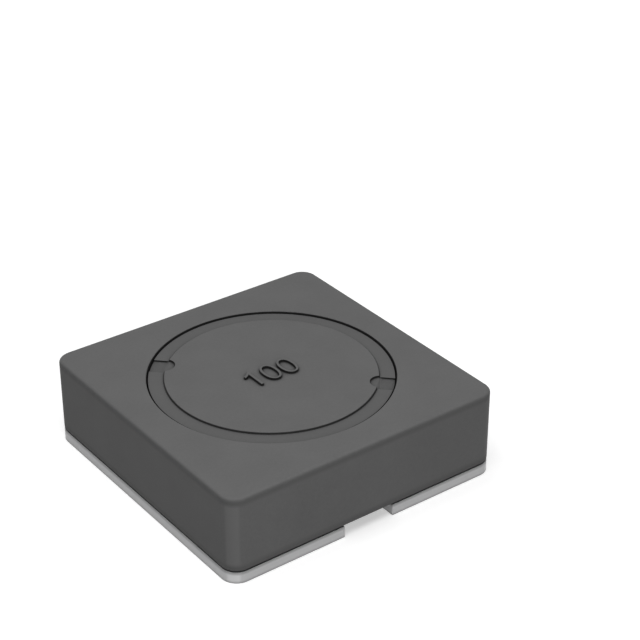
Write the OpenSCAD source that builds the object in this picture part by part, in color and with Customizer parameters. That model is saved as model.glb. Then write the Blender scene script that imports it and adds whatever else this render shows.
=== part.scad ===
// Shielded surface-mount inductor: a wound drum core inside a square ring core, on two flat terminals.
// Millimetres, Z up, origin at the middle of the footprint on the plane of the terminals' undersides.
// The left terminal is on the -X side, the right terminal on the +X side.

/* [Body] */
// Side of the square footprint
body_w = 10.1; // [9:0.1:12]
// Overall height, from the terminals' undersides to the top
body_h = 3.0; // [2.8:0.1:4.5]
// Radius of the four upright corners
corner_r = 0.55; // [0.3:0.05:0.9]
// Radius of the ring core's top and bottom edges
edge_r = 0.12; // [0.06:0.02:0.2]
// Ring core wall at the middle of each side
wall_t = 1.09; // [0.8:0.01:1.3]

/* [Drum core] */
// Gap between the drum core's flanges and the ring core's bore
core_gap = 0.045; // [0.035:0.005:0.1]
// Thickness of each flange at its rim
flange_t = 0.58; // [0.45:0.01:0.65]
// Width of the lowered rim round each flange's disc
rim_w = 0.49; // [0.3:0.01:0.6]
// Height of the top disc over its rim
top_step = 0.07; // [0.04:0.01:0.12]
// Height of the underside disc over its rim
under_step = 0.1; // [0.04:0.01:0.12]
// Clearance from the underside disc to the terminals' plane
foot_gap = 0.03; // [0.02:0.01:0.08]
// Diameter of the centre post
post_d = 3.8; // [3:0.1:4]

/* [Lead grooves] */
// Width of the two grooves across the flanges' rims
groove_w = 0.7; // [0.66:0.01:0.78]
// Length of each groove, from the flange's edge to its rounded end
groove_reach = 0.78; // [0.72:0.01:0.84]
// Depth of the shallow grooves in the top flange, below its disc and below its rim alike
groove_depth = 0.06; // [0.04:0.01:0.12]
// Direction of the left terminal's groove, anticlockwise from +X
groove_angle = 135; // [125:1:145]

/* [Terminals] */
// Thickness of the terminal plates
terminal_t = 0.39; // [0.3:0.01:0.42]
// Clear width of the channel between the two terminals
channel_w = 1.84; // [1.2:0.02:2.6]
// Side clearance of each terminal's tab in its groove
tab_clearance = 0.04; // [0.02:0.01:0.06]

/* [Winding] */
// Diameter of the wire over its enamel
wire_d = 0.28; // [0.2:0.01:0.3]
// Pitch of neighbouring turns over the wire's diameter
turn_pitch = 1.1; // [1.1:0.01:1.3]
// Gap between the wire and the core
wire_gap = 0.01; // [0.01:0.005:0.03]
// Number of layers of turns, as far as the room round the post allows
layers = 4; // [2:2:6]
// Flats round one turn
turn_flats = 20; // [16:2:24]

/* [Joints] */
// Solder between each lead's end and its tab
solder_film = 0.03; // [0.02:0.01:0.05]
// Width of the solder fillet round each lead
solder_fillet = 0.12; // [0.06:0.01:0.14]
// Gap between the solder and the lead's corners
solder_gap = 0.005; // [0.005:0.005:0.01]
// Height of the adhesive that bonds the drum core into the ring core
bond_h = 0.25; // [0.1:0.01:0.28]

/* [Hidden] */

$fn = 96;
overcut = 0.5;
ferrite_colour = [0.33, 0.33, 0.34];
drum_colour = [0.36, 0.36, 0.37];
tin_colour = [0.82, 0.83, 0.84];
copper_colour = [0.72, 0.36, 0.18];
solder_colour = [0.66, 0.67, 0.69];
bond_colour = [0.16, 0.13, 0.1];

bore_r = body_w / 2 - wall_t;
flange_r = bore_r - core_gap;
disc_r = flange_r - rim_w;
post_r = post_d / 2;

ring_h = body_h - terminal_t;
under_rim_z = foot_gap + under_step;
window_low_z = under_rim_z + flange_t;
top_rim_z = body_h - top_step;
window_high_z = top_rim_z - flange_t;

groove_r = groove_w / 2;
groove_at = flange_r - groove_reach + groove_r;
tab_r = groove_r - tab_clearance;
left_angle = groove_angle;
right_angle = groove_angle - 180;

// The wire has eight flats; its corners stand out a little from its width over the flats.
WIRE_SIDES = 8;
wire_r = wire_d / 2;
wire_corner_r = wire_r / cos(180 / WIRE_SIDES);

// Each lead bends down inside the round end of its groove.
bend_r = sqrt(pow(groove_r - tab_clearance / 2, 2) - pow(wire_corner_r, 2));
BEND_STEPS = 5;
lead_end_z = terminal_t + solder_film;

// Every layer has its vertices on the same directions, so its flats lie parallel to the next layer's.
step_angle = 360 / turn_flats;
flat_ratio = cos(step_angle / 2);
pitch_z = wire_d * turn_pitch;
pitch_r = pitch_z / flat_ratio;
first_layer_r = (post_r + wire_gap + wire_r) / flat_ratio;

// The last layer leaves its lead room to bend into the groove, and an even count brings both leads out below.
outermost_r = sqrt(pow(groove_at, 2) - pow(bend_r, 2)) - wire_gap;
fitting_layers = 1 + floor((outermost_r - first_layer_r) / pitch_r);
wound_layers = max(2, min(layers, 2 * floor(fitting_layers / 2)));
last_layer = wound_layers - 1;
last_layer_r = first_layer_r + last_layer * pitch_r;
first_row_z = window_low_z + wire_gap + wire_r;
row_travel = window_high_z - wire_gap - wire_r - first_row_z;

// Both leads leave their layer along its tangent, which fixes where the turns start and end.
start_angle = left_angle + acos(first_layer_r / groove_at);
end_angle = right_angle - acos(last_layer_r / groove_at);
extra_angle = (end_angle - start_angle) - 360 * floor((end_angle - start_angle) / 360);
extra_steps = floor(extra_angle / step_angle);

// The first layer has one turn more than the others, which start above the first lead.
// Each crossing to the next layer takes two steps, or three where the end angle needs one more.
CROSS_STEPS = 2;
most_steps = floor(turn_flats * row_travel / pitch_z);
given_up = (turn_flats - CROSS_STEPS) * last_layer;
whole_turns = floor((wound_layers * most_steps - given_up - extra_steps) / turn_flats);
total_steps = whole_turns * turn_flats + extra_steps;
first_steps = floor((total_steps + given_up) / wound_layers);
spare_steps = total_steps + given_up - wound_layers * first_steps;
top_row_z = first_row_z + pitch_z * first_steps / turn_flats;

function layer_steps(i) = i == 0 ? first_steps : first_steps - turn_flats;
function cross_steps(i) = CROSS_STEPS + (i < spare_steps ? 1 : 0);
function layer_start(i) = i == 0 ? 0 : layer_start(i - 1) + layer_steps(i - 1) + cross_steps(i - 1);
function layer_z(i, k) = i % 2 == 0
    ? (i == 0 ? first_row_z : first_row_z + pitch_z) + pitch_z * k / turn_flats
    : top_row_z - pitch_z * k / turn_flats;
function layer_r(i) = first_layer_r + i * pitch_r;

// A section is a point on the wire's centre line and the two directions across the wire there.
function section(point, side, lift) = [point, side, lift];
function radial(angle) = [cos(angle), sin(angle), 0];
function tangent(angle) = [-sin(angle), cos(angle), 0];
function up() = [0, 0, 1];

function turn_section(angle, r, z) = section(r * radial(angle) + z * up(), radial(angle), up());
function turn_sections(i) = [
    for (k = [0 : layer_steps(i)])
        turn_section(start_angle + (layer_start(i) + k) * step_angle, layer_r(i), layer_z(i, k)),
    if (i < last_layer) for (k = [1 : cross_steps(i) - 1])
        turn_section(start_angle + (layer_start(i) + layer_steps(i) + k) * step_angle,
                     layer_r(i) + pitch_r * k / cross_steps(i), layer_z(i, layer_steps(i)))
];

// One lead from the coil outwards: it follows the tangent, bends down and ends upright over the tab.
function lead_sections(angle, corner, z, way) = let (ahead = way * tangent(angle)) concat(
    [for (k = [0 : BEND_STEPS]) let (turn = 90 * k / BEND_STEPS)
        section(corner - bend_r * (1 - sin(turn)) * ahead + (z - bend_r * (1 - cos(turn))) * up(),
                radial(angle), cos(turn) * up() + sin(turn) * ahead)],
    [section(corner + lead_end_z * up(), radial(angle), ahead)]);

function backwards(list) = [for (k = [len(list) - 1 : -1 : 0]) list[k]];

// The last layer runs on down through the part of a step that is left before its lead.
last_z = layer_z(last_layer, layer_steps(last_layer) + extra_angle / step_angle - extra_steps);

wire_path = concat(
    backwards(lead_sections(start_angle, groove_at * radial(left_angle), first_row_z, -1)),
    [for (i = [0 : last_layer]) each turn_sections(i)],
    [turn_section(end_angle, last_layer_r, last_z)],
    lead_sections(end_angle, groove_at * radial(right_angle), last_z, 1));

ring_core();
drum_core();
winding();
left_terminal();
right_terminal();
left_solder_joint();
right_solder_joint();
core_bond();

// Square ferrite ring with a round bore, standing on the two terminals.
module ring_core() {
    color(ferrite_colour)
        difference() {
            translate([0, 0, terminal_t]) rounded_block(body_w, ring_h, corner_r, edge_r);
            translate([0, 0, terminal_t - overcut]) cylinder(r = bore_r, h = ring_h + 2 * overcut);
        }
}

// One-piece ferrite bobbin: two flanges with a disc and a lowered rim, on a round post.
module drum_core() {
    color(drum_colour)
        difference() {
            rotate_extrude() drum_profile();
            for (angle = [left_angle, right_angle]) {
                translate([0, 0, body_h - groove_depth]) lead_groove(angle, groove_r, overcut);
                translate([0, 0, top_rim_z - groove_depth]) rim_groove(angle);
                translate([0, 0, -overcut]) lead_groove(angle, groove_r, window_low_z + 2 * overcut);
            }
        }
}

// Enamelled copper wire: layers of turns on the post and both leads, in one run.
module winding() {
    corners = [for (s = wire_path, k = [0 : WIRE_SIDES - 1]) let (a = (k + 0.5) * 360 / WIRE_SIDES)
        s[0] + wire_corner_r * (cos(a) * s[1] + sin(a) * s[2])];
    last = len(wire_path) - 1;
    skin = [for (n = [0 : last - 1], k = [0 : WIRE_SIDES - 1])
        let (a = n * WIRE_SIDES + k, b = n * WIRE_SIDES + (k + 1) % WIRE_SIDES)
        each [[a, b, b + WIRE_SIDES], [a, b + WIRE_SIDES, a + WIRE_SIDES]]];
    first_end = [for (k = [WIRE_SIDES - 1 : -1 : 0]) k];
    last_end = [for (k = [0 : WIRE_SIDES - 1]) last * WIRE_SIDES + k];
    color(copper_colour)
        polyhedron(points = corners, faces = concat([first_end], skin, [last_end]));
}

// Tinned plate under the -X half of the ring core.
module left_terminal() {
    color(tin_colour) terminal(left_angle);
}

// Tinned plate under the +X half of the ring core.
module right_terminal() {
    color(tin_colour) rotate([0, 0, 180]) terminal(left_angle);
}

// Solder that fixes the first lead to the left terminal's tab.
module left_solder_joint() {
    color(solder_colour) rotate([0, 0, left_angle]) translate([groove_at, 0, terminal_t]) solder_cup();
}

// Solder that fixes the last lead to the right terminal's tab.
module right_solder_joint() {
    color(solder_colour) rotate([0, 0, right_angle]) translate([groove_at, 0, terminal_t]) solder_cup();
}

// Adhesive drawn into the gap between the lower flange and the ring core's bore.
module core_bond() {
    color(bond_colour)
        translate([0, 0, terminal_t])
            rotate_extrude() translate([flange_r, 0]) square([core_gap, bond_h]);
}

// Half section of the drum core, from the underside disc up to the top disc.
module drum_profile() {
    polygon([
        [0, foot_gap], [disc_r, foot_gap], [disc_r, under_rim_z], [flange_r, under_rim_z],
        [flange_r, window_low_z], [post_r, window_low_z], [post_r, window_high_z],
        [flange_r, window_high_z], [flange_r, top_rim_z], [disc_r, top_rim_z],
        [disc_r, body_h], [0, body_h]
    ]);
}

// Plate of the -X half: rounded outer corners, a round cut-out for the flange and a tab in its groove.
module terminal(angle) {
    difference() {
        linear_extrude(terminal_t) intersection() {
            rounded_square(body_w, corner_r);
            translate([-body_w, -body_w]) square([body_w - channel_w / 2, 2 * body_w]);
        }
        translate([0, 0, -overcut]) cylinder(r = bore_r, h = terminal_t + 2 * overcut);
    }
    lead_groove(angle, tab_r, terminal_t, bore_r + overcut - groove_at);
}

// Slot shape of a groove or tab: a round inner end, then straight sides out past the flange.
module lead_groove(angle, r, h, run = groove_reach + overcut) {
    rotate([0, 0, angle]) translate([groove_at, 0, 0]) {
        cylinder(r = r, h = h);
        translate([0, -r, 0]) cube([run, 2 * r, h]);
    }
}

// The part of a top groove that lies in the rim.
module rim_groove(angle) {
    difference() {
        lead_groove(angle, groove_r, overcut);
        translate([0, 0, -overcut]) cylinder(r = disc_r, h = 3 * overcut);
    }
}

// Film of solder under the lead's end and a hollow fillet round the lead.
module solder_cup() {
    hole_r = wire_corner_r + solder_gap;
    cylinder(r = hole_r + solder_fillet, h = solder_film);
    translate([0, 0, solder_film]) rotate_extrude() translate([hole_r, 0]) difference() {
        square(solder_fillet);
        translate([solder_fillet, solder_fillet]) circle(r = solder_fillet);
    }
}

module rounded_square(w, r) {
    square([w - 2 * r, w], center = true);
    square([w, w - 2 * r], center = true);
    for (x = [-1, 1], y = [-1, 1]) translate([x * (w / 2 - r), y * (w / 2 - r)]) circle(r = r);
}

// Square block with rounded upright corners and rounded top and bottom edges.
module rounded_block(w, h, r, edge) {
    for (turn = [0, 90]) rotate([90, 0, turn])
        linear_extrude(w - 2 * r, center = true) edge_profile(w, h, edge);
    for (x = [-1, 1], y = [-1, 1]) translate([x * (w / 2 - r), y * (w / 2 - r), 0])
        rotate_extrude() intersection() {
            edge_profile(2 * r, h, edge);
            square([r, h]);
        }
}

// Rectangle standing on the X axis with its four corners rounded.
module edge_profile(w, h, edge) {
    translate([-w / 2 + edge, 0]) square([w - 2 * edge, h]);
    translate([-w / 2, edge]) square([w, h - 2 * edge]);
    for (x = [-1, 1], z = [edge, h - edge]) translate([x * (w / 2 - edge), z]) circle(r = edge);
}
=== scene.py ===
"""Dresses a shielded surface-mount inductor for its picture: fine meshes, materials, studio and camera.

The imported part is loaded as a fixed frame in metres: Z up, origin at the middle of the footprint, the left
terminal on the -X side. Meshes are shaped in millimetres, where Blender's mesh tools work most exactly, and
are scaled to metres when they become objects.
"""
import math

import bmesh
import bpy
from mathutils import Matrix, Vector


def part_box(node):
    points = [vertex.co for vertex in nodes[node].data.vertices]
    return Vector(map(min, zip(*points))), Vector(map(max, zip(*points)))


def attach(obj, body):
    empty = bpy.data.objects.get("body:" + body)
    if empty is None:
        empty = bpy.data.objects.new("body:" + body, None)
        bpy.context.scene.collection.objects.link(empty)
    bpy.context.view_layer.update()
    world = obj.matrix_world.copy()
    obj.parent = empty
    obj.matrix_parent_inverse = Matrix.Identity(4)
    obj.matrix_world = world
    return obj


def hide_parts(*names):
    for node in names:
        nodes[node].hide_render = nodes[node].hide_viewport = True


MM = 0.001

# Camera: where it stands and how far the middle of its picture lies right of and above the part's origin.
CAMERA_AZIMUTH = math.radians(-36.80)
CAMERA_ELEVATION = math.radians(29.89)
CAMERA_DISTANCE = 57.79 * MM
CAMERA_RIGHT = 1.530 * MM
CAMERA_UP = 4.281 * MM
LENS = 100.0
SENSOR = 36.0
CLIP_START = 1 * MM
CLIP_END = 10.0

# Ring core, with the height of its middle and the reach from there to its top and bottom.
CORNER_R = 0.55
EDGE_R = 0.12
BORE_R = 3.96
BORE_EDGE = 0.03
RING_MIDDLE = 1.695
RING_REACH = 1.305

# Painted shade in bands along the ring core's rounded edges: distances from its top or bottom where it
# starts and is full.
SHADE_BAND_START = 0.31
SHADE_BAND_FULL = 0.18

# Drum core, with the height of its middle and the reach from there to both ends.
FLANGE_R = 3.915
DISC_R = 3.425
POST_R = 1.90
FLANGE_T = 0.58
TOP_STEP = 0.065
UNDER_STEP = 0.10
DRUM_MIDDLE = 1.515
DRUM_REACH = 1.485
DRUM_EDGE = 0.012
DISC_EDGE = 0.05
DISC_EDGE_STEPS = 3
TURN_STEPS = 360

# Darkening of the drum core's faces that lie below its ends: depths below the ends where it starts and is
# full.
DARKENING_START = 0.01
DARKENING_FULL = 0.12

# Grooves in the drum core's flanges, and the terminals' tabs in them.
GROOVE_ANGLE = math.radians(135)
GROOVE_AT = 3.485
GROOVE_R = 0.35
DISC_GROOVE_DEPTH = 0.07
RIM_GROOVE_DEPTH = 0.05
GROOVE_RAMP = 0.06
TAB_R = 0.31
ROUND_STEPS = 32

# Terminals. From the start height given below up, a painted shade darkens their walls towards the upper
# edge, where the ring core shades them.
CHANNEL_W = 1.84
PLATE_T = 0.39
PLATE_EDGE = 0.015
TOP_SHADE_START = 0.28

# Value code on the disc: plain numerals 1, 0, 0 in low relief.
DIGIT_RISE = 0.08
DIGIT_HALF_HEIGHT = 0.445
ZERO_HALF_WIDTH = 0.28
ZERO_STROKE = 0.092
ZERO_STROKE_ENDS = 0.075
ZERO_POWER = 2.25
ZERO_STEPS = 64
ZERO_CENTRES = (-0.044, 0.608)
ONE_OUTLINE = (
    (-0.600, -0.450), (-0.600, 0.440), (-0.670, 0.440), (-0.695, 0.400), (-0.735, 0.355), (-0.785, 0.310),
    (-0.845, 0.270), (-0.910, 0.235), (-0.910, 0.135), (-0.835, 0.165), (-0.765, 0.205), (-0.705, 0.255),
    (-0.705, -0.450),
)

# Near-black painted shade for the ferrite's narrow walls, its bore and its creases, where little light
# reaches.
PAINTED_CREVICE_SHADE = (0.007, 0.007, 0.007)

# Edges sharper than the first angle are rounded. Edges sharper than the second stay creased in the shading.
ROUNDED_FROM = math.radians(31)
CREASED_FROM = math.radians(60)
ROUNDING_STEPS = 2

# Faces whose areas differ by less, in square millimetres, weigh the same in the shading.
ALIKE_AREA = 0.001

# Points nearer to each other than this become one, and tools reach this far past what they cut.
MERGE = 0.012
OVERCUT = 0.3

# Studio. Floor and surroundings show paler than the light that they give.
FLOOR_REACH = 1.5
FLOOR_LIGHT = 0.3
FLOOR_SEEN = 0.9
SURROUNDINGS_LIGHT = 0.166

# Glow of the floor near the part, and the distances between which it rises to 1.
NEAR_GLOW = 0.37
GLOW_START = 20 * MM
GLOW_FULL = 60 * MM


def camera_axes(azimuth, elevation):
    """The camera's right, up and backward directions."""
    back = Vector((
        math.sin(azimuth) * math.cos(elevation),
        -math.cos(azimuth) * math.cos(elevation),
        math.sin(elevation),
    ))
    right = Vector((0, 0, 1)).cross(back).normalized()
    return right, back.cross(right), back


def add_camera():
    right, up, back = camera_axes(CAMERA_AZIMUTH, CAMERA_ELEVATION)
    data = bpy.data.cameras.new("camera")
    data.lens = LENS
    data.sensor_width = SENSOR
    data.clip_start = CLIP_START
    data.clip_end = CLIP_END
    camera = bpy.data.objects.new("camera", data)
    axes = Matrix((right, up, back)).transposed().to_4x4()
    camera.matrix_world = Matrix.Translation(
        back * CAMERA_DISTANCE + right * CAMERA_RIGHT + up * CAMERA_UP) @ axes
    bpy.context.scene.collection.objects.link(camera)
    bpy.context.scene.camera = camera


def linked_object(name, mesh):
    piece = bpy.data.objects.new(name, mesh)
    bpy.context.scene.collection.objects.link(piece)
    return piece


def mesh_from(name, bm):
    bmesh.ops.recalc_face_normals(bm, faces=bm.faces)
    mesh = bpy.data.meshes.new(name)
    bm.to_mesh(mesh)
    bm.free()
    return mesh


def prism(outline, low, high):
    """Closed solid over a flat outline."""
    bm = bmesh.new()
    bottom = [bm.verts.new((x, y, low)) for x, y in outline]
    top = [bm.verts.new((x, y, high)) for x, y in outline]
    bm.faces.new(bottom)
    bm.faces.new(top)
    for i in range(len(outline)):
        j = (i + 1) % len(outline)
        bm.faces.new((bottom[i], bottom[j], top[j], top[i]))
    return mesh_from("prism", bm)


def revolve(profile, steps):
    """Closed solid of revolution whose profile starts and ends away from the axis."""
    bm = bmesh.new()
    rings = []
    for r, z in profile:
        angles = [GROOVE_ANGLE + 2 * math.pi * i / steps for i in range(steps)]
        rings.append([bm.verts.new((r * math.cos(a), r * math.sin(a), z)) for a in angles])
    for lower, upper in zip(rings, rings[1:]):
        for i in range(steps):
            j = (i + 1) % steps
            bm.faces.new((lower[i], lower[j], upper[j], upper[i]))
    bm.faces.new(rings[0])
    bm.faces.new(rings[-1])
    return mesh_from("revolve", bm)


def applied(piece):
    """The piece's mesh with its modifiers applied."""
    graph = bpy.context.evaluated_depsgraph_get()
    return bpy.data.meshes.new_from_object(piece.evaluated_get(graph))


def combine(base, others, operation):
    """The mesh left by an exact Boolean of base with every one of the others."""
    target = linked_object("target", base)
    tools = []
    for mesh in others:
        tool = linked_object("tool", mesh)
        tools.append(tool)
        step = target.modifiers.new("step", "BOOLEAN")
        step.operation = operation
        step.solver = "EXACT"
        step.object = tool
    result = applied(target)
    for used in (target, *tools):
        bpy.data.objects.remove(used)
    return result


def rounded(mesh, edge):
    """The mesh with its sharp edges rounded to that radius."""
    bm = bmesh.new()
    bm.from_mesh(mesh)
    bmesh.ops.remove_doubles(bm, verts=bm.verts, dist=MERGE)
    bmesh.ops.dissolve_degenerate(bm, edges=bm.edges, dist=MERGE / 4)
    sharp = [e for e in bm.edges if e.is_manifold and e.calc_face_angle() > ROUNDED_FROM]
    bmesh.ops.bevel(bm, geom=sharp, offset=edge, offset_type="OFFSET", segments=ROUNDING_STEPS,
                    profile=0.5, affect="EDGES", clamp_overlap=False)
    return mesh_from("rounded", bm)


def finished_piece(name, mesh):
    """A mesh in millimetres made an object in metres, shaded evenly on its flat faces."""
    bm = bmesh.new()
    bm.from_mesh(mesh)
    for face in bm.faces:
        face.smooth = True
    for edge in bm.edges:
        edge.smooth = edge.calc_face_angle(0.0) < CREASED_FROM
    draft = linked_object("draft", mesh_from("draft", bm))
    level = draft.modifiers.new("level normals", "WEIGHTED_NORMAL")
    level.weight = 100
    level.thresh = ALIKE_AREA
    level.keep_sharp = True
    shaded = applied(draft)
    bpy.data.objects.remove(draft)
    shaded.transform(Matrix.Scale(MM, 4))
    return linked_object(name, shaded)


def slot_outline(angle, r, run):
    """A groove or tab: round inner end at GROOVE_AT, then straight sides outwards for the run."""
    ahead = Vector((math.cos(angle), math.sin(angle)))
    aside = Vector((-math.sin(angle), math.cos(angle)))
    centre = ahead * GROOVE_AT
    points = [centre + ahead * run - aside * r, centre + ahead * run + aside * r]
    for i in range(ROUND_STEPS + 1):
        turn = math.pi * i / ROUND_STEPS
        points.append(centre + aside * r * math.cos(turn) - ahead * r * math.sin(turn))
    return [(p.x, p.y) for p in points]


def circle(r):
    angles = [2 * math.pi * i / TURN_STEPS for i in range(TURN_STEPS)]
    return [(r * math.cos(a), r * math.sin(a)) for a in angles]


def zero_outline(centre, half_width, half_height):
    outline = []
    for i in range(ZERO_STEPS):
        a = 2 * math.pi * i / ZERO_STEPS
        x = math.copysign(abs(math.cos(a)) ** (2 / ZERO_POWER), math.cos(a))
        y = math.copysign(abs(math.sin(a)) ** (2 / ZERO_POWER), math.sin(a))
        outline.append((centre + half_width * x, half_height * y))
    return outline


def ring_core(box_low, box_high):
    """Square ring with a round bore: loops of quads from the rounded outer edges over to the bore."""
    half = box_high.x / MM
    low, high = box_low.z / MM, box_high.z / MM
    corner_steps, side_steps, fillet_steps = 16, 48, 6
    around = []
    for quarter in range(4):
        start = quarter * math.pi / 2
        corner = Matrix.Rotation(start, 2) @ Vector((half - CORNER_R, half - CORNER_R))
        for i in range(corner_steps + 1):
            a = start + math.pi / 2 * i / corner_steps
            normal = Vector((math.cos(a), math.sin(a)))
            around.append((corner + normal * CORNER_R, normal))
        next_corner = Matrix.Rotation(start + math.pi / 2, 2) @ Vector((half - CORNER_R, half - CORNER_R))
        side_start, side_end = around[-1][0], next_corner + normal * CORNER_R
        for i in range(1, side_steps):
            around.append((side_start.lerp(side_end, i / side_steps), normal))
    steps = [math.pi / 2 * i / fillet_steps for i in range(fillet_steps + 1)]
    outer = [(EDGE_R * (1 - math.sin(t)), low + EDGE_R * (1 - math.cos(t))) for t in steps]
    outer += [(EDGE_R * (1 - math.cos(t)), high - EDGE_R * (1 - math.sin(t))) for t in steps]
    inner = [(BORE_R + BORE_EDGE, high), (BORE_R, high - BORE_EDGE), (BORE_R, low + BORE_EDGE),
             (BORE_R + BORE_EDGE, low)]
    bm = bmesh.new()
    loops = []
    for inset, z in outer:
        loops.append([bm.verts.new((*(p - n * inset), z)) for p, n in around])
    for r, z in inner:
        loops.append([bm.verts.new((*(p.normalized() * r), z)) for p, n in around])
    for k, loop in enumerate(loops):
        following = loops[(k + 1) % len(loops)]
        for i in range(len(loop)):
            j = (i + 1) % len(loop)
            bm.faces.new((loop[i], loop[j], following[j], following[i]))
    return finished_piece("ring_core_body", mesh_from("ring", bm))


def groove_tool(angle, high, top_rim):
    """The room of a top groove: its floor drops by a short ramp from below the disc to below the rim."""
    inner, outer = GROOVE_AT - GROOVE_R - OVERCUT, FLANGE_R + OVERCUT
    lift = high + OVERCUT
    profile = [
        (inner, high - DISC_GROOVE_DEPTH), (DISC_R - GROOVE_RAMP, high - DISC_GROOVE_DEPTH),
        (DISC_R + GROOVE_RAMP, top_rim - RIM_GROOVE_DEPTH), (outer, top_rim - RIM_GROOVE_DEPTH),
        (outer, lift), (inner, lift),
    ]
    room = prism(profile, -2 * GROOVE_R, 2 * GROOVE_R)
    ahead = Vector((math.cos(angle), math.sin(angle), 0))
    up = Vector((0, 0, 1))
    room.transform(Matrix((ahead, up, ahead.cross(up))).transposed().to_4x4())
    plan = prism(slot_outline(angle, GROOVE_R, outer - GROOVE_AT), top_rim - OVERCUT, lift + OVERCUT)
    return combine(plan, [room], "INTERSECT")


def drum_core(box_low, box_high):
    """Bobbin with stepped flanges, lead grooves and the raised value code."""
    low, high = box_low.z / MM, box_high.z / MM
    under_rim, top_rim = low + UNDER_STEP, high - TOP_STEP
    turns = [math.pi / 2 * i / DISC_EDGE_STEPS for i in range(DISC_EDGE_STEPS + 1)]
    body = revolve([
        (DISC_R, low), (DISC_R, under_rim), (FLANGE_R, under_rim), (FLANGE_R, under_rim + FLANGE_T),
        (POST_R, under_rim + FLANGE_T), (POST_R, top_rim - FLANGE_T), (FLANGE_R, top_rim - FLANGE_T),
        (FLANGE_R, top_rim), (DISC_R, top_rim),
        *((DISC_R - DISC_EDGE * (1 - math.cos(t)), high - DISC_EDGE * (1 - math.sin(t))) for t in turns),
    ], TURN_STEPS)
    grooves = []
    for angle in (GROOVE_ANGLE, GROOVE_ANGLE - math.pi):
        outline = slot_outline(angle, GROOVE_R, FLANGE_R)
        grooves.append(groove_tool(angle, high, top_rim))
        grooves.append(prism(outline, low - OVERCUT, under_rim + FLANGE_T + OVERCUT))
    body = rounded(combine(body, grooves, "DIFFERENCE"), DRUM_EDGE)
    foot, crest = high - OVERCUT, high + DIGIT_RISE
    digits = [prism(ONE_OUTLINE, foot, crest)]
    for centre in ZERO_CENTRES:
        outer = prism(zero_outline(centre, ZERO_HALF_WIDTH, DIGIT_HALF_HEIGHT), foot, crest)
        inner = prism(zero_outline(centre, ZERO_HALF_WIDTH - ZERO_STROKE,
                                   DIGIT_HALF_HEIGHT - ZERO_STROKE_ENDS), foot - OVERCUT, crest + OVERCUT)
        digits.append(combine(outer, [inner], "DIFFERENCE"))
    body = combine(body, [rounded(digit, DRUM_EDGE) for digit in digits], "UNION")
    return finished_piece("drum_core_body", body)


def terminal(name, box_low, box_high, side):
    """Plate under one half: rounded outer corners, round cut-out and a tab in the lower flange's groove."""
    half, thickness = max(-box_low.x, box_high.x) / MM, box_high.z / MM
    outline = []
    for sign in (1, -1):
        centre = Vector((half - CORNER_R, sign * (half - CORNER_R)))
        for i in range(ROUND_STEPS + 1):
            a = math.pi / 2 * (1 - i / ROUND_STEPS) if sign > 0 else -math.pi / 2 * i / ROUND_STEPS
            outline.append(tuple(centre + CORNER_R * Vector((math.cos(a), math.sin(a)))))
    outline += [(CHANNEL_W / 2, -half), (CHANNEL_W / 2, half)]
    hole = prism(circle(BORE_R), -OVERCUT, thickness + OVERCUT)
    plate = combine(prism(outline, 0, thickness), [hole], "DIFFERENCE")
    tab = prism(slot_outline(GROOVE_ANGLE - math.pi, TAB_R, BORE_R + OVERCUT - GROOVE_AT), 0, thickness)
    plate = combine(plate, [tab], "UNION")
    if side < 0:
        plate.transform(Matrix.Rotation(math.pi, 4, "Z"))
    return finished_piece(name, rounded(plate, PLATE_EDGE))


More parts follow.
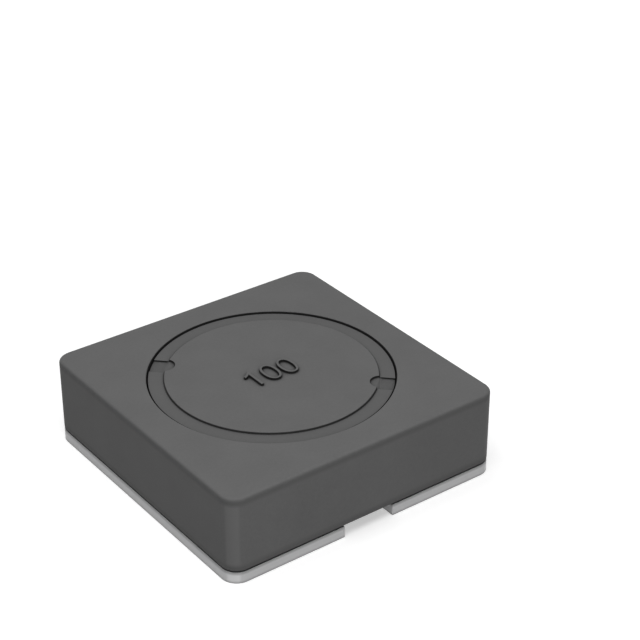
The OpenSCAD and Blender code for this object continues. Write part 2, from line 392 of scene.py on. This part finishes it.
class Nodes:
    """A new material's node tree, with short calls for the nodes that every material here uses."""

    def __init__(self, name):
        self.material = bpy.data.materials.new(name)
        self.material.use_nodes = True
        self.tree = self.material.node_tree
        self.shader = self.tree.nodes["Principled BSDF"]
        self.place = self.tree.nodes.new("ShaderNodeTexCoord").outputs["Object"]

    def add(self, kind, **settings):
        node = self.tree.nodes.new(kind)
        for key, value in settings.items():
            setattr(node, key, value)
        return node

    def link(self, output, socket):
        self.tree.links.new(output, socket)

    def stretched(self, factors):
        """The place with each axis multiplied, so that a pattern becomes streaks."""
        node = self.add("ShaderNodeMapping")
        node.inputs["Scale"].default_value = factors
        self.link(self.place, node.inputs["Vector"])
        return node.outputs["Vector"]

    def noise(self, size, detail=4.0, roughness=0.55, place=None):
        """Noise between 0 and 1 whose features are about size metres across."""
        node = self.add("ShaderNodeTexNoise")
        node.inputs["Scale"].default_value = 1 / size
        node.inputs["Detail"].default_value = detail
        node.inputs["Roughness"].default_value = roughness
        self.link(place or self.place, node.inputs["Vector"])
        return node.outputs["Fac"]

    def span(self, value, low, high, from_low=0.25, from_high=0.75):
        """The value mapped from the range from_low..from_high, which suits noise by itself, to low..high."""
        node = self.add("ShaderNodeMapRange")
        node.inputs["From Min"].default_value = from_low
        node.inputs["From Max"].default_value = from_high
        node.inputs["To Min"].default_value = low
        node.inputs["To Max"].default_value = high
        self.link(value, node.inputs["Value"])
        return node.outputs["Result"]

    def share(self, value, none_at, all_at):
        """0 where the value is none_at, 1 where it is all_at, and even steps between them."""
        return self.span(value, 0.0, 1.0, none_at, all_at)

    def math(self, operation, a, b):
        node = self.add("ShaderNodeMath", operation=operation)
        for socket, value in zip(node.inputs, (a, b)):
            if isinstance(value, float):
                socket.default_value = value
            else:
                self.link(value, socket)
        return node.outputs["Value"]

    def blend(self, first, second, weight):
        """Sum of two patterns, where weight is the first one's part in it."""
        rest = self.math("MULTIPLY", second, 1.0 - weight)
        return self.math("ADD", self.math("MULTIPLY", first, weight), rest)

    def colour(self, factor, first, second):
        node = self.add("ShaderNodeMix", data_type="RGBA")
        self.link(factor, node.inputs["Factor"])
        for socket, value in ((node.inputs["A"], first), (node.inputs["B"], second)):
            if isinstance(value, tuple):
                socket.default_value = (*value, 1.0)
            else:
                self.link(value, socket)
        return node.outputs["Result"]

    def openness(self, reach):
        """1 on open faces, less in corners, slits and recesses that are up to reach metres wide."""
        node = self.add("ShaderNodeAmbientOcclusion", samples=16)
        node.inputs["Distance"].default_value = reach
        return node.outputs["AO"]

    def bump(self, height, depth, strength):
        node = self.add("ShaderNodeBump")
        node.inputs["Strength"].default_value = strength
        node.inputs["Distance"].default_value = depth
        self.link(height, node.inputs["Height"])
        self.link(node.outputs["Normal"], self.shader.inputs["Normal"])

    def surface(self, colour, roughness, constants=()):
        """Links colour and roughness, and sets the shader's constant values on its own sockets."""
        self.link(colour, self.shader.inputs["Base Color"])
        self.link(roughness, self.shader.inputs["Roughness"])
        for name, value in constants:
            self.shader.inputs[name].default_value = value
        return self.material


def facing(n, axis):
    """How much a face looks along an axis, either way: 0 to 1."""
    parts = n.add("ShaderNodeSeparateXYZ")
    n.link(n.add("ShaderNodeNewGeometry").outputs["Normal"], parts.inputs["Vector"])
    return n.math("ABSOLUTE", parts.outputs[axis], 0.0)


def off_level(n, level):
    """Distance in metres above or below a level that is given in millimetres."""
    parts = n.add("ShaderNodeSeparateXYZ")
    n.link(n.place, parts.inputs["Vector"])
    return n.math("ABSOLUTE", n.math("SUBTRACT", parts.outputs["Z"], level * MM), 0.0)


def radius(n):
    """Distance in metres from the upright axis through the origin."""
    length = n.add("ShaderNodeVectorMath", operation="LENGTH")
    n.link(n.stretched((1.0, 1.0, 0.0)), length.inputs[0])
    return length.outputs["Value"]


def steep_walls(n):
    """1 on upright walls, where shade is painted, and 0 on level faces."""
    return n.share(facing(n, "Z"), 0.985, 0.75)


def corner_highlight_share(n):
    """1 in the middle of rounded upright corners, where a highlight is painted, and 0 on the straight sides.
    """
    return n.share(n.math("MULTIPLY", facing(n, "X"), facing(n, "Y")), 0.3, 0.42)


def bore_wall(n):
    """1 inside the ring core's bore, where a near-black shade is painted, and 0 on the rest of it."""
    return n.share(radius(n), (BORE_R + BORE_EDGE / 2) * MM, (BORE_R + BORE_EDGE / 4) * MM)


def edge_shade_bands(n):
    """1 on the steep part of the ring core's rounded edges and on a narrow band of wall beside them, where
    shade is painted.
    """
    start, full = (RING_REACH - SHADE_BAND_START) * MM, (RING_REACH - SHADE_BAND_FULL) * MM
    near = n.share(off_level(n, RING_MIDDLE), start, full)
    return n.math("MULTIPLY", near, n.share(facing(n, "Z"), 0.88, 0.5))


def below_ends_darkening(n):
    """0 on the drum core's end faces, and more the deeper a face lies below them, up to 1."""
    start, full = (DRUM_REACH - DARKENING_START) * MM, (DRUM_REACH - DARKENING_FULL) * MM
    return n.share(off_level(n, DRUM_MIDDLE), start, full)


def plate_top_shade(n):
    """1 at the terminals' upper edge, where a painted shade darkens the wall, and 0 from a little below it
    down.
    """
    return n.share(off_level(n, 0.0), TOP_SHADE_START * MM, PLATE_T * MM)


def ferrite(name, light, dark, marks):
    """Ferrite with fine grain and faint clouds, which takes the colour of a mark where the mark is 1, and a
    painted near-black shade in creases and recesses.
    """
    n = Nodes(name)
    grain = n.noise(0.10 * MM, detail=5.0, roughness=0.65)
    clouds = n.noise(1.6 * MM, detail=3.0)
    colour = n.colour(n.share(n.blend(grain, clouds, 0.6), 0.3, 0.7), dark, light)
    for mark, shade in marks:
        colour = n.colour(mark(n), colour, shade)
    # Painted shade: near black in corners, slits and recesses, where less light reaches.
    colour = n.colour(n.share(n.openness(0.25 * MM), 0.5, 0.95), PAINTED_CREVICE_SHADE, colour)
    n.bump(n.noise(0.07 * MM, detail=6.0, roughness=0.7), 0.004 * MM, 0.5)
    return n.surface(colour, n.span(grain, 0.62, 0.8), [("Specular IOR Level", 0.2)])


def tin():
    """Matt tin plating with faint rolling streaks along the plates, with painted shade on its walls."""
    n = Nodes("tin_plating")
    streaks = n.noise(0.06 * MM, detail=3.0, place=n.stretched((1.0, 0.06, 1.0)))
    spots = n.noise(0.5 * MM)
    tone = n.blend(streaks, spots, 0.5)
    face = n.colour(n.span(tone, 0.0, 1.0), (0.76, 0.765, 0.775), (0.83, 0.835, 0.845))
    # Painted shade on the upright walls, lighter round the corners as a painted highlight.
    wall = n.colour(corner_highlight_share(n), (0.47, 0.47, 0.475), (0.58, 0.58, 0.585))
    # Painted shade under the upper edge, darker still.
    wall = n.colour(plate_top_shade(n), wall, (0.2, 0.2, 0.2))
    colour = n.colour(steep_walls(n), face, wall)
    # Painted shade in creases and corners, where less light reaches.
    colour = n.colour(n.share(n.openness(0.2 * MM), 0.3, 0.8), (0.06, 0.06, 0.06), colour)
    n.bump(streaks, 0.003 * MM, 0.35)
    return n.surface(colour, n.span(tone, 0.55, 0.42), [("Metallic", 0.35)])


def enamelled_copper():
    n = Nodes("enamelled_copper")
    tone = n.noise(0.4 * MM, detail=3.0)
    colour = n.colour(n.span(tone, 0.0, 1.0), (0.42, 0.16, 0.05), (0.62, 0.27, 0.1))
    n.bump(n.noise(0.08 * MM), 0.002 * MM, 0.3)
    return n.surface(colour, n.span(tone, 0.25, 0.4),
                     [("Metallic", 0.85), ("Coat Weight", 0.6), ("Coat Roughness", 0.12)])


def solder():
    n = Nodes("solder")
    tone = n.noise(0.09 * MM)
    colour = n.colour(n.span(tone, 0.0, 1.0), (0.5, 0.51, 0.53), (0.68, 0.69, 0.71))
    n.bump(tone, 0.004 * MM, 0.4)
    return n.surface(colour, n.span(tone, 0.22, 0.45), [("Metallic", 1.0)])


def resin():
    n = Nodes("bond_resin")
    tone = n.noise(0.3 * MM)
    colour = n.colour(n.span(tone, 0.0, 1.0), (0.03, 0.024, 0.02), (0.07, 0.055, 0.045))
    n.bump(tone, 0.01 * MM, 0.4)
    return n.surface(colour, n.span(tone, 0.2, 0.4))


def seen_directly(tree):
    """1 for the rays that carry the background to the camera, by itself or in a reflection, and else 0."""
    path = tree.nodes.new("ShaderNodeLightPath")
    total = path.outputs["Is Camera Ray"]
    for name in ("Is Glossy Ray", "Is Transmission Ray"):
        either = tree.nodes.new("ShaderNodeMath")
        either.operation = "MAXIMUM"
        tree.links.new(total, either.inputs[0])
        tree.links.new(path.outputs[name], either.inputs[1])
        total = either.outputs["Value"]
    return total


def add_floor():
    """Wide pale floor that keeps the part's shadow. Where the lamps' light ends, a glow keeps it white."""
    n = Nodes("studio_floor")
    seen = seen_directly(n.tree)
    glow = n.span(radius(n), NEAR_GLOW, 1.0, GLOW_START, GLOW_FULL)
    n.link(n.span(seen, FLOOR_LIGHT, FLOOR_SEEN, 0.0, 1.0), n.shader.inputs["Base Color"])
    n.link(n.math("MULTIPLY", glow, seen), n.shader.inputs["Emission Strength"])
    n.shader.inputs["Emission Color"].default_value = (1.0, 1.0, 1.0, 1.0)
    n.shader.inputs["Roughness"].default_value = 0.9
    n.shader.inputs["Specular IOR Level"].default_value = 0.0
    bm = bmesh.new()
    bmesh.ops.create_grid(bm, x_segments=1, y_segments=1, size=FLOOR_REACH)
    floor = linked_object("floor", mesh_from("floor", bm))
    floor.data.materials.append(n.material)


def add_lamp(name, direction, watts, size, distance):
    """Square soft lamp in that direction from the part, looking back at it."""
    lamp = bpy.data.lights.new(name, "AREA")
    lamp.energy = watts
    lamp.size = size
    piece = linked_object(name, lamp)
    piece.location = direction.normalized() * distance
    piece.rotation_mode = "QUATERNION"
    piece.rotation_quaternion = direction.to_track_quat("Z", "Y")


def add_surroundings():
    """White surroundings that give a weaker light than they show."""
    world = bpy.data.worlds.new("studio")
    world.use_nodes = True
    bpy.context.scene.world = world
    tree = world.node_tree
    background = tree.nodes["Background"]
    background.inputs["Color"].default_value = (1.0, 1.0, 1.0, 1.0)
    strength = tree.nodes.new("ShaderNodeMapRange")
    strength.inputs["To Min"].default_value = SURROUNDINGS_LIGHT
    tree.links.new(seen_directly(tree), strength.inputs["Value"])
    tree.links.new(strength.outputs["Result"], background.inputs["Strength"])


def cover(piece, material):
    """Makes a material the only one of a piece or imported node."""
    piece.data.materials.clear()
    piece.data.materials.append(material)


def dress(piece, material, node):
    """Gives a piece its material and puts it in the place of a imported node."""
    cover(piece, material)
    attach(piece, "root")
    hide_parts(node)


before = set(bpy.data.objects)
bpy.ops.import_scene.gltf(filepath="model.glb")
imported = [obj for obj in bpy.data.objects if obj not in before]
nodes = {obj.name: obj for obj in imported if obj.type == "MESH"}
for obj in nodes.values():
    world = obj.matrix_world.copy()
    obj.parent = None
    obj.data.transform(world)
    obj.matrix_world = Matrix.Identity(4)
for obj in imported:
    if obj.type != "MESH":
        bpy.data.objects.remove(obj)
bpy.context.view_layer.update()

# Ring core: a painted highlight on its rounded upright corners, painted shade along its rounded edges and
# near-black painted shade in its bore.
ring_ferrite = ferrite("ring_ferrite", (0.130, 0.130, 0.130), (0.105, 0.105, 0.105),
                       ((corner_highlight_share, (0.140, 0.140, 0.140)), (edge_shade_bands, (0.094, 0.094, 0.094)),
                        (bore_wall, PAINTED_CREVICE_SHADE)))
# Drum core: darker the deeper a face lies below its ends, and near-black painted shade on its steep walls.
drum_ferrite = ferrite("drum_ferrite", (0.128, 0.128, 0.128), (0.103, 0.103, 0.103),
                       ((below_ends_darkening, (0.084, 0.084, 0.084)), (steep_walls, PAINTED_CREVICE_SHADE)))
tin_plating = tin()
solder_metal = solder()

dress(ring_core(*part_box("ring_core")), ring_ferrite, "ring_core")
dress(drum_core(*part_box("drum_core")), drum_ferrite, "drum_core")
for side, name in ((-1, "left_terminal"), (1, "right_terminal")):
    dress(terminal(name + "_plate", *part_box(name), side), tin_plating, name)
cover(nodes["winding"], enamelled_copper())
cover(nodes["left_solder_joint"], solder_metal)
cover(nodes["right_solder_joint"], solder_metal)
cover(nodes["core_bond"], resin())

add_floor()
add_surroundings()
add_lamp("key", Vector((-0.14, -0.02, 0.99)), watts=0.0525, size=80 * MM, distance=80 * MM)
add_lamp("front", Vector((-0.27, -0.84, 0.3)), watts=0.0115, size=24 * MM, distance=60 * MM)
add_camera()

scene = bpy.context.scene
scene.view_settings.view_transform = "Standard"
